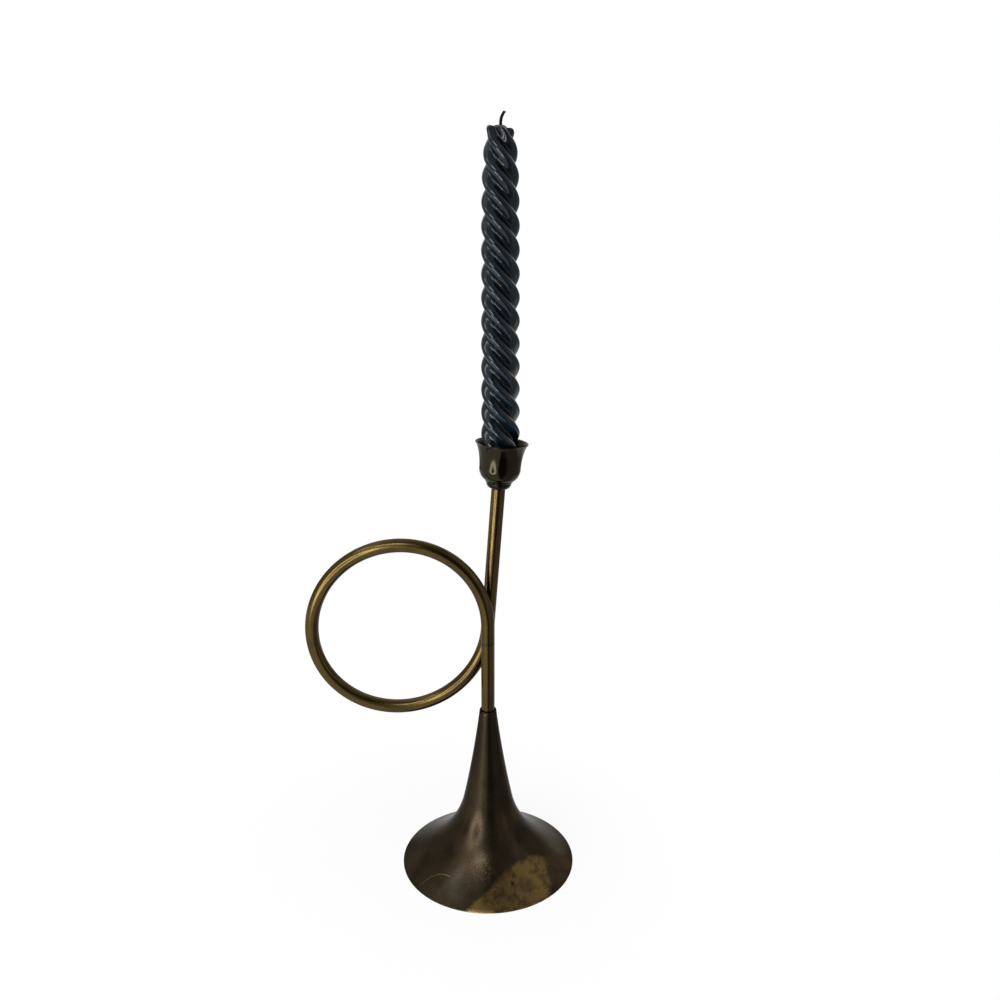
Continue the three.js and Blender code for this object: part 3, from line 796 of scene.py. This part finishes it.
class CANDLEHOLDER_OT_cup(bpy.types.Operator):
    """Turns the candle cup and the collar under it"""

    bl_idname = "candle_holder.cup"
    bl_label = "Cup and Collar"

    def execute(self, context):
        cup = context.scene.holder_cup
        finish = blackened_turned_brass(cup)
        tube_radius = (STEM_HIGH.x - STEM_LOW.x) / 2
        collar = add_piece("collar", spun(self.collar_outline(cup, tube_radius), 96, LEG_PLACE), finish)
        dress(collar, "darkened_brass", "collar", "cup_collar")
        bowl = add_piece("cup", spun(self.cup_outline(cup), 128, LEG_PLACE), finish)
        dress(bowl, "darkened_brass", "cup", "candle_cup")
        return {"FINISHED"}

    def collar_outline(self, cup, tube_radius):
        """Rounded ring with a socket for the tube and a hole for the stud."""
        socket = tube_radius + cup.socket
        tube_end = 2.9 * MM
        edge = 0.12 * MM
        fullness = 1.15
        spread = cup.collar_step_radius - cup.collar_foot_radius
        steps = 14
        outline = [at(socket, 0)]
        for i in range(steps + 1):
            turn = math.pi / 2 * i / steps
            radius = cup.collar_foot_radius + spread * math.sin(turn) ** fullness
            outline.append(at(radius, cup.collar_step * (1 - math.cos(turn))))
        groove = at(cup.collar_step_radius - 2 * edge, cup.collar_step + edge / 2)
        above = at(cup.collar_step_radius + 0.3 * MM, cup.collar_step + 2 * edge)
        rim = at(cup.collar_radius, cup.collar_height - edge)
        outline += [groove, groove + at(0, edge)]
        outline += curve(above, above.lerp(rim, 0.4), above.lerp(rim, 0.7), rim, 5)
        outline += [
            rim,
            rim + at(-edge, edge),
            at(cup.hole_radius, cup.collar_height),
            at(cup.hole_radius, tube_end),
            at(socket, tube_end),
        ]
        return outline

    def cup_outline(self, cup):
        """Flared mouth, round belly and flat foot outside; a round-bottomed socket inside."""
        foot = cup.collar_height + cup.seat
        lip = foot + cup.cup_height
        lip_point = at(cup.lip_radius, lip)
        below_lip = at(13.7 * MM, lip - 2 * MM)
        belly = at(cup.belly_radius, lip - cup.belly_depth)
        above_belly = belly + at(0, 7.4 * MM)
        below_belly = belly - at(0, 1.75 * MM)
        foot_edge = at(cup.foot_radius, foot + 0.12 * MM)
        beside_foot = foot_edge + at(2.6 * MM, 0.95 * MM)
        flare = curve(lip_point, below_lip, above_belly, belly, 26)
        turn_in = curve(belly, below_belly, beside_foot, foot_edge, 12)
        inside = [point - at(cup.wall, 0) for point in flare[1:]]

        floor = lip - cup.floor_depth
        floor_round = 2.2 * MM
        corner = at(cup.belly_radius - cup.wall, floor)
        floor_turn = round_corner(corner + at(0, floor_round), corner, corner - at(floor_round, 0), 7)[:-1]
        edge = 0.3 * MM
        inner_edge = lip_point - at(cup.wall, 0)
        lip_round = curve(inner_edge - at(0, edge), inner_edge, inner_edge, inner_edge + at(edge, 0), 4)
        lip_round += [lip_point - at(edge, 0), lip_point - at(edge * 0.3, edge * 0.2)]
        ledge = 0.08 * MM
        hole = [
            at(cup.foot_radius, foot + ledge),
            at(cup.foot_radius - ledge, foot),
            at(cup.hole_radius, foot),
            at(cup.hole_radius, floor),
        ]
        return lip_round + flare[1:] + turn_in + hole + floor_turn[::-1] + inside[::-1]


def candle_reach(candle, height, tall):
    """Radius to the crest of the strands at a height above the foot of the candle."""
    straight = candle.radius - candle.taper * height
    foot = candle.foot_radius + (candle.radius - candle.foot_radius) * height / candle.foot_taper
    rounding = max(0, (height - tall) / candle.shoulder + 1)
    return min(straight, foot) * (1 - rounding ** 3) ** (1 / 6)


class CANDLEHOLDER_OT_candle(bpy.types.Operator):
    """Draws the twisted candle up its height, turning its strands, and lays the plied wick"""

    bl_idname = "candle_holder.candle"
    bl_label = "Candle and Wick"

    def execute(self, context):
        candle = context.scene.holder_candle
        middle = Vector(((CANDLE_LOW.x + CANDLE_HIGH.x) / 2, COLLAR_FOOT.y, CANDLE_LOW.z))
        body = add_piece("twisted_candle", self.twist(candle, middle), dyed_candle_wax(candle))
        dress(body, "navy_wax", "candle", "candle")
        wick = add_piece("plied_wick", self.wick(candle, middle), charred_cotton(candle))
        dress(wick, "waxed_cotton", "candle", "wick")
        return {"FINISHED"}

    def rings(self, candle):
        """Radius and height of each ring, from the foot up the body and over the ends of the strands."""
        tall = candle.top - CANDLE_LOW.z
        end_height = 4.5 * MM
        step = 0.6 * MM
        shoulder = tall - end_height
        body = []
        for i in range(int(shoulder / step)):
            body.append((candle_reach(candle, i * step, tall), i * step))
        start = at(candle_reach(candle, shoulder, tall), shoulder)

        # Over the ends of the strands to the dip inside them and the mound round the wick
        crest = at(5.6 * MM, tall - 0.3 * MM)
        dip = at(4.5 * MM, tall - 1.1 * MM)
        mound = at(2.6 * MM, tall + 0.2 * MM)
        over = curve(start, start + at(0, 2.4 * MM), crest + at(1.7 * MM, 0), crest, 12)
        over += curve(crest, crest - at(0.6 * MM, 0), dip + at(0.3 * MM, 0.2 * MM), dip, 7)
        over += curve(dip, dip - at(0.5 * MM, 0), mound + at(0.8 * MM, -0.35 * MM), mound, 7)
        over += [mound, at(1.6 * MM, tall + 0.5 * MM), at(0.7 * MM, tall + 0.6 * MM)]
        return body + [(point.x, point.z) for point in over], tall

    def twist(self, candle, middle):
        """Lobed ring extruded from ring to ring, scaled and turned on with the height."""
        rings, tall = self.rings(candle)
        points_on_strand = 32
        groove_round = 0.05
        fullness = 0.75
        shape = bmesh.new()
        crest = shape.verts.layers.float.new("crest")
        segments = points_on_strand * candle.strands
        ring = bmesh.ops.create_circle(shape, segments=segments, radius=1)["verts"]
        share = candle.groove / candle.radius
        for corner in ring:
            turn = candle.strands * math.atan2(corner.co.y, corner.co.x) / 2
            lobe = ((math.cos(turn) ** 2 + groove_round) / (1 + groove_round)) ** fullness
            corner[crest] = lobe
            corner.co *= 1 - share * (1 - lobe)

        groove = candle.left_groove - CANDLE_LOW.z

        def placed(radius, height):
            turn = (math.pi - 2 * math.pi * (height - groove) / candle.pitch) / candle.strands
            up = Matrix.Translation(middle + Vector((candle.lean * (1 - height / tall), 0, height)))
            return up @ Matrix.Rotation(turn, 4, "Z") @ Matrix.Diagonal((radius, radius, 1, 1))

        extruded(shape, ring, [placed(radius, height) for radius, height in rings], ends=True)
        self.part_strands(shape, crest, middle, tall)
        bmesh.ops.recalc_face_normals(shape, faces=shape.faces)
        return shape

    def part_strands(self, shape, crest, middle, tall):
        """Near the tip the grooves cut deeper, and the ends of the strands slope to the right."""
        parted_height = 9 * MM
        fade_height = 7 * MM
        core_radius = 4 * MM
        cut_inwards = 0.12
        cut_down = 0.6 * MM
        slope = 0.125
        for corner in shape.verts:
            side = corner.co - middle
            near = min(1, max(0, (side.z - tall + parted_height) / fade_height))
            near = near * near * (3 - 2 * near)
            in_strands = min(1, math.hypot(side.x, side.y) / core_radius) * near
            in_groove = in_strands * (1 - corner[crest])
            corner.co.x = middle.x + side.x * (1 - cut_inwards * in_groove)
            corner.co.y = middle.y + side.y * (1 - cut_inwards * in_groove)
            corner.co.z -= slope * side.x * in_strands + cut_down * in_groove

    def wick(self, candle, middle):
        """Three plies twisted round a middle line that stands up and bends over to the right."""
        tall = candle.top - CANDLE_LOW.z
        plies = 3
        ply_share = 0.56
        ply_radius = candle.wick_radius * ply_share
        spread = candle.wick_radius - ply_radius
        twist_pitch = 3.2 * MM
        sunk = 4 * MM
        root = middle + at(0.5 * MM, tall - sunk)
        tip = middle + at(candle.wick_bend, tall + candle.wick_rise)
        root_pull = root + at(-0.9 * MM, candle.wick_rise)
        tip_pull = tip - at(1.7 * MM, candle.wick_rise * 0.35)
        line = interpolate_bezier(root, root_pull, tip_pull, tip, 60)
        shape = bmesh.new()
        for ply in range(plies):
            points = []
            for point in line:
                turn = 2 * math.pi * (ply / plies + point.z / twist_pitch)
                points.append(point + Vector((spread * math.cos(turn), spread * math.sin(turn), 0)))
            mesh = bpy.data.meshes.new("ply")
            ply_shape = swept(points, ply_radius, 12, ends=True)
            ply_shape.to_mesh(mesh)
            ply_shape.free()
            shape.from_mesh(mesh)
            bpy.data.meshes.remove(mesh)
        return shape


class CANDLEHOLDER_OT_fixings(bpy.types.Operator):
    """Makes the screw, the washers and the stud, and gives the bush, sleeve and plugs their brass"""

    bl_idname = "candle_holder.fixings"
    bl_label = "Fixings"

    def execute(self, context):
        fixings = context.scene.holder_fixings
        brass = bare_turned_brass(fixings)
        steel = zinc_plated_steel(fixings)
        for name in ("stem_plug", "joint_sleeve", "top_plug", "neck_bush"):
            frame["nodes"][name].data.materials.clear()
            frame["nodes"][name].data.materials.append(brass)
        pieces = (
            ("hexagon_screw", self.screw(fixings), steel, "zinc_steel", "base_screw"),
            ("flat_washer", self.washer(fixings), steel, "zinc_steel", "base_washer"),
            ("split_washer", self.split_washer(fixings), steel, "zinc_steel", "spring_washer"),
            ("threaded_stud", self.stud(fixings), brass, "turned_brass", "cup_stud"),
        )
        for name, shape, finish, slot, node in pieces:
            piece = add_piece(name, shape, finish)
            piece.data.shade_flat()
            dress(piece, slot, "stand", node)
        return {"FINISHED"}

    def threaded(self, fixings, low, high):
        """Outline of a rod with the ridges of its thread, from its lower to its upper end."""
        crest = fixings.shank_radius
        root = crest - fixings.thread_depth
        outline = [at(0, low), at(root, low)]
        height = low + fixings.thread_pitch / 2
        while height < high - fixings.thread_pitch / 2:
            outline += [at(crest, height), at(root, height + fixings.thread_pitch / 2)]
            height += fixings.thread_pitch
        return outline + [at(root, high), at(0, high)]

    def screw(self, fixings):
        """Hexagon head with its corners turned off, over a threaded shank."""
        low = SCREW_LOW.z
        top = low + fixings.head_height
        corner_radius = fixings.head_across / math.sqrt(3)
        sunk = 0.2 * MM
        chamfer = 0.35 * MM
        shape = spun(self.threaded(fixings, top - sunk, SCREW_HIGH.z), 48, STEM_PLACE)
        head = bmesh.ops.create_cone(
            shape,
            cap_ends=True,
            segments=6,
            radius1=corner_radius,
            radius2=corner_radius,
            depth=fixings.head_height,
            matrix=Matrix.Translation(on_stem((low + top) / 2)),
        )["verts"]
        edges = list({edge for corner in head for edge in corner.link_edges})
        flat_edges = [edge for edge in edges if abs(edge.verts[0].co.z - edge.verts[1].co.z) < chamfer]
        bmesh.ops.bevel(
            shape, geom=flat_edges, offset=chamfer, segments=2, profile=0.5, affect="EDGES", material=-1
        )
        return shape

    def washer(self, fixings):
        """Stamped ring with rounded outer edges."""
        radius = (WASHER_HIGH.x - WASHER_LOW.x) / 2
        round_edge = 0.15 * MM
        corners = (
            (fixings.hole_radius, WASHER_LOW.z, 0),
            (radius, WASHER_LOW.z, round_edge),
            (radius, WASHER_HIGH.z, round_edge),
            (fixings.hole_radius, WASHER_HIGH.z, 0),
        )
        return spun(rounded(corners), 64, STEM_PLACE)

    def split_washer(self, fixings):
        """Bar bent to a ring with a gap, one end a little above the other."""
        radius = (SPRING_HIGH.x - SPRING_LOW.x) / 2
        rise = 0.12 * MM
        shape = bmesh.new()
        corners = (
            at(fixings.hole_radius, SPRING_LOW.z),
            at(radius, SPRING_LOW.z),
            at(radius, SPRING_HIGH.z - rise),
            at(fixings.hole_radius, SPRING_HIGH.z - rise),
        )
        section = shape.faces.new([shape.verts.new(corner) for corner in corners])
        start_turn = Matrix.Rotation(fixings.split / 2, 4, "Z")
        bmesh.ops.transform(shape, matrix=start_turn, verts=shape.verts)
        steps = 44
        bmesh.ops.spin(
            shape,
            geom=[section],
            axis=(0, 0, 1),
            dvec=(0, 0, rise / steps),
            angle=2 * math.pi - fixings.split,
            steps=steps,
        )
        bmesh.ops.recalc_face_normals(shape, faces=shape.faces)
        bmesh.ops.transform(shape, matrix=STEM_PLACE, verts=shape.verts)
        return shape

    def stud(self, fixings):
        """Threaded rod in line with the leaning leg."""
        radius = fixings.shank_radius
        bottom = (STUD_LOW.z + radius * LEG_AXIS.x - COLLAR_FOOT.z) / LEG_AXIS.z
        top = (STUD_HIGH.z - radius * LEG_AXIS.x - COLLAR_FOOT.z) / LEG_AXIS.z
        return spun(self.threaded(fixings, bottom, top), 48, LEG_PLACE)


class CANDLEHOLDER_OT_stage(bpy.types.Operator):
    """Sets the camera, the floor, the lamps and the boards that the metal mirrors"""

    bl_idname = "candle_holder.stage"
    bl_label = "Stage"

    def execute(self, context):
        stage = context.scene.holder_stage
        context.scene.view_settings.view_transform = "Standard"
        self.camera(context, stage)
        self.world(context, stage)
        self.floor()
        self.key_lamp(stage)
        self.high_lamps(stage)
        self.boards()
        return {"FINISHED"}

    def camera(self, context, stage):
        """Camera at the photograph's place and angle."""
        data = bpy.data.cameras.new("camera")
        data.lens = stage.lens
        data.sensor_width = 36
        data.shift_x, data.shift_y = stage.shift
        data.clip_start = 0.01
        camera = bpy.data.objects.new("camera", data)
        camera.location = stage.camera_place
        camera.rotation_euler = (math.pi / 2 - stage.camera_pitch, 0, 0)
        context.scene.collection.objects.link(camera)
        context.scene.camera = camera

    def seen_directly(self, tree):
        """1 for rays that show the background: from the camera, mirrored by metal or through glass."""
        rays = add_node(tree, "LightPath").outputs
        seen = add_node(tree, "Math", (rays["Is Camera Ray"], rays["Is Glossy Ray"]), operation="MAXIMUM")
        return add_node(tree, "Math", (seen, rays["Is Transmission Ray"]), operation="MAXIMUM")

    def world(self, context, stage):
        """White background over an even light."""
        world = bpy.data.worlds.new("white_studio")
        world.use_nodes = True
        tree = world.node_tree
        background = tree.nodes["Background"]
        connect(tree, background.inputs["Color"], WHITE)
        seen = self.seen_directly(tree)
        level = add_node(tree, "MapRange", (seen, 0, 1, stage.ambient, 1.0))
        connect(tree, background.inputs["Strength"], level)
        context.scene.world = world

    def floor(self):
        """Pale floor that fades into the white background and keeps a soft shadow near the bell."""
        shape = bmesh.new()
        bmesh.ops.create_grid(shape, x_segments=1, y_segments=1, size=6)
        bmesh.ops.translate(shape, vec=(0, 0, -0.05 * MM), verts=shape.verts)
        finish, tree, place = start_finish("Pale Paper Floor")
        near = 0.04
        clear = 0.18
        away = add_node(tree, "VectorMath", (place,), operation="LENGTH")
        fade = add_node(tree, "MapRange", (away, near, clear, 0.9, 1.0), **SMOOTH)
        share = add_node(tree, "Math", (fade, self.seen_directly(tree)), operation="MULTIPLY")
        paper = add_node(tree, "BsdfDiffuse", {"Color": linear("#f4f4f4")})
        white = add_node(tree, "Emission", {"Color": WHITE, "Strength": 1.0})
        set_shader(tree, add_node(tree, "MixShader", (share, paper, white)))
        floor = add_piece("floor", shape, finish)

    def round_about(self, azimuth, distance, height):
        """Place round the stem: an azimuth of 0 is at the front, and 90 degrees at the right."""
        turn = math.radians(azimuth)
        return Vector((STEM.x + distance * math.sin(turn), -distance * math.cos(turn), height))

    def lamp(self, name, size, place, target, brightness):
        """Oval area lamp whose surface has this brightness, turned towards a target."""
        data = bpy.data.lights.new(name, "AREA")
        data.shape = "ELLIPSE"
        data.size, data.size_y = size
        area = math.pi / 4 * size[0] * size[1]
        data.energy = brightness * math.pi * area
        lamp = bpy.data.objects.new(name, data)
        lamp.location = place
        lamp.rotation_euler = (target - place).to_track_quat("-Z", "Y").to_euler()
        lamp.visible_camera = False
        bpy.context.scene.collection.objects.link(lamp)

    def board(self, name, size, place, target, brightness, round_shape=False, soft=(0, 0)):
        """Board that only mirroring surfaces see. Its left and right sides can fade out, each over a
        share of half its width."""
        shape = bmesh.new()
        if round_shape:
            bmesh.ops.create_circle(shape, cap_ends=True, segments=64, radius=0.5)
        else:
            bmesh.ops.create_grid(shape, x_segments=1, y_segments=1, size=0.5)
        turn = (target - place).to_track_quat("Z", "Y").to_matrix().to_4x4()
        matrix = Matrix.Translation(place) @ turn @ Matrix.Diagonal((*size, 1, 1))
        bmesh.ops.transform(shape, matrix=matrix, verts=shape.verts)
        finish, tree, spot_on_board = start_finish(name.replace("_", " ").title())
        glow = add_node(tree, "Emission", {"Color": WHITE, "Strength": brightness})
        if any(soft):
            to_right = turn.to_3x3() @ Vector((-2 / size[0], 0, 0))
            from_middle = add_node(tree, "VectorMath", (spot_on_board, place), operation="SUBTRACT")
            across = add_node(tree, "VectorMath", (from_middle, to_right), operation="DOT_PRODUCT")
            left = add_node(tree, "MapRange", (across, -1, soft[0] - 1), **SMOOTH)
            right = add_node(tree, "MapRange", (across, 1, 1 - soft[1]), **SMOOTH)
            solid = add_node(tree, "Math", (left, right), operation="MULTIPLY")
            clear = add_node(tree, "BsdfTransparent")
            glow = add_node(tree, "MixShader", (solid, clear, glow))
        set_shader(tree, glow)
        board = add_piece(name, shape, finish)
        board.visible_camera = False
        board.visible_diffuse = False
        board.visible_transmission = False
        board.visible_shadow = False

    def key_lamp(self, stage):
        """Round lamp low at the front left, with a dim dish before its middle."""
        lamp_size = (0.36, 0.39)
        dish_size = (0.19, 0.22)
        dish_brightness = 0.4
        place = self.round_about(azimuth=-40, distance=0.5, height=0.195)
        target = on_stem(place.z)
        dish_place = place.lerp(target, 0.02)
        self.lamp("key_lamp", lamp_size, place, target, stage.key_light)
        self.board("lamp_dish", dish_size, dish_place, target, dish_brightness, round_shape=True)

    def high_lamps(self, stage):
        """Two soft lamps above eye height, at the left and at the front left. A row holds the azimuth, the
        distance, the size and the share of the brightness."""
        target = on_stem(0.2)
        height = 0.95
        layout = (
            ("left_lamp", -74, 0.72, (0.3, 0.22), 0.36),
            ("front_lamp", -23, 0.78, (0.56, 0.2), 0.85),
        )
        for name, azimuth, away, size, share in layout:
            self.lamp(name, size, self.round_about(azimuth, away, height), target, stage.high_light * share)

    def boards(self):
        """Grey boards round the set, which give the metal its dark tones. The near card is almost black and
        fades out to the right, and boards lie on the floor at the right and behind. An upright board's row
        holds azimuth, distance, height, height that it faces, size, brightness and how its sides fade. A
        lying board's row holds its place to the right and back, its size and how its sides fade."""
        layout = (
            ("near_card", 22, 0.13, 0.345, 0.345, (0.168, 0.37), 0.06, (0.12, 1.0)),
            ("low_card", 14, 0.135, 0.085, 0.085, (0.105, 0.17), 0.13, (0.2, 0.8)),
            ("front_board", 26, 1.27, 0.52, 0.25, (1.75, 2.6), 0.4, (0, 0)),
            ("left_board", -100, 1.5, 0.38, 0.25, (1.9, 2.4), 0.5, (0, 0)),
            ("right_board", 100, 1.5, 0.25, 0.25, (1.9, 0.9), 0.38, (0, 0)),
            ("high_right_board", 95, 1.3, 1.35, 0.25, (2.2, 1.4), 0.6, (0, 0)),
            ("back_board", 180, 1.5, 0.15, 0.15, (3.3, 0.8), 0.4, (0, 0)),
            ("upper_board", 60, 0.46, 1.68, 0.25, (2.2, 2.2), 0.45, (0, 0)),
        )
        for name, azimuth, distance, height, facing, size, brightness, soft in layout:
            place = self.round_about(azimuth, distance, height)
            self.board(name, size, place, on_stem(facing), brightness, soft=soft)
        above_floor = 0.001
        lying_brightness = 0.4
        lying = (
            ("right_floor", 0.85, -0.72, (1.7, 1.55), (0.1, 0.3)),
            ("side_floor", 1.0, 0.38, (1.4, 0.65), (0.2, 0.3)),
            ("back_floor", 0, 1.25, (3.3, 1.1), (0, 0)),
        )
        for name, right, back, size, soft in lying:
            place = Vector((STEM.x + right, back, above_floor))
            self.board(name, size, place, place + Vector((0, 0, 1)), lying_brightness, soft=soft)


OPERATORS = (
    CANDLEHOLDER_OT_stage,
    CANDLEHOLDER_OT_bell,
    CANDLEHOLDER_OT_tube,
    CANDLEHOLDER_OT_cup,
    CANDLEHOLDER_OT_candle,
    CANDLEHOLDER_OT_fixings,
)


class CANDLEHOLDER_PT_sidebar(bpy.types.Panel):
    """Lists the pieces and their settings"""

    bl_idname = "CANDLEHOLDER_PT_sidebar"
    bl_label = "Candle Holder"
    bl_space_type = "VIEW_3D"
    bl_region_type = "UI"
    bl_category = "Candle Holder"

    def draw(self, context):
        for operator in OPERATORS:
            self.layout.operator(operator.bl_idname)
        for attribute, group in SETTINGS.items():
            box = self.layout.box()
            for name in group.__annotations__:
                box.prop(getattr(context.scene, attribute), name)


def register():
    """Registers the settings, the operators and the panel."""
    for attribute, group in SETTINGS.items():
        bpy.utils.register_class(group)
        setattr(bpy.types.Scene, attribute, bpy.props.PointerProperty(type=group))
    for kind in (*OPERATORS, CANDLEHOLDER_PT_sidebar):
        bpy.utils.register_class(kind)


def unregister():
    """Takes away what register added."""
    for kind in reversed((*OPERATORS, CANDLEHOLDER_PT_sidebar)):
        bpy.utils.unregister_class(kind)
    for attribute, group in reversed(SETTINGS.items()):
        delattr(bpy.types.Scene, attribute)
        bpy.utils.unregister_class(group)


def main():
    """Builds the stage and every piece."""
    register()
    bpy.ops.candle_holder.stage()
    bpy.ops.candle_holder.bell()
    bpy.ops.candle_holder.tube()
    bpy.ops.candle_holder.cup()
    bpy.ops.candle_holder.candle()
    bpy.ops.candle_holder.fixings()


if __name__ == "__main__":
    main()
